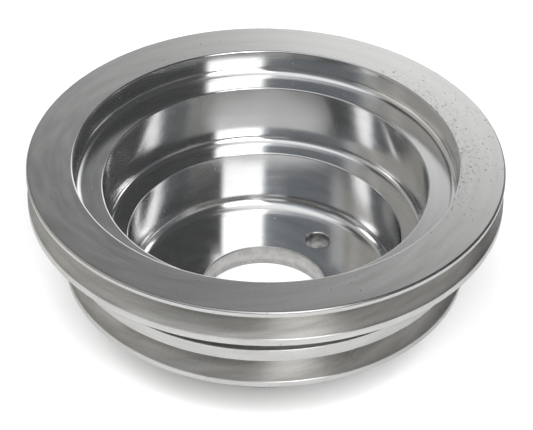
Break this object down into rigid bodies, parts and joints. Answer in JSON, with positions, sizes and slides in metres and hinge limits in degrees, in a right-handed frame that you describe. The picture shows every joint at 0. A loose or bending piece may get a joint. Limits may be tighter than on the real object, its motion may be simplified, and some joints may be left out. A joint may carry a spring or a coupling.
{
  "type": "v-belt crankshaft pulley",
  "caption": "Round metal V-belt pulley: stepped belt rings around a deep stepped cup, with a smaller hub below, a centre hole and bolt holes in the cup floor.",
  "frame": {"origin": "centre of the hub's flat underside, on the pulley's axis", "axes": "+Z along the pulley's axis, from the hub's underside to the open mouth of the cup; X and Y lie in the plane of the belt rings"},
  "size_m": [0.178, 0.178, 0.069],
  "materials": {
    "billet_aluminium": "gloss"
  },
  "bodies": {
    "root": {"crank_pulley": "billet_aluminium"}
  },
  "joints": []
}
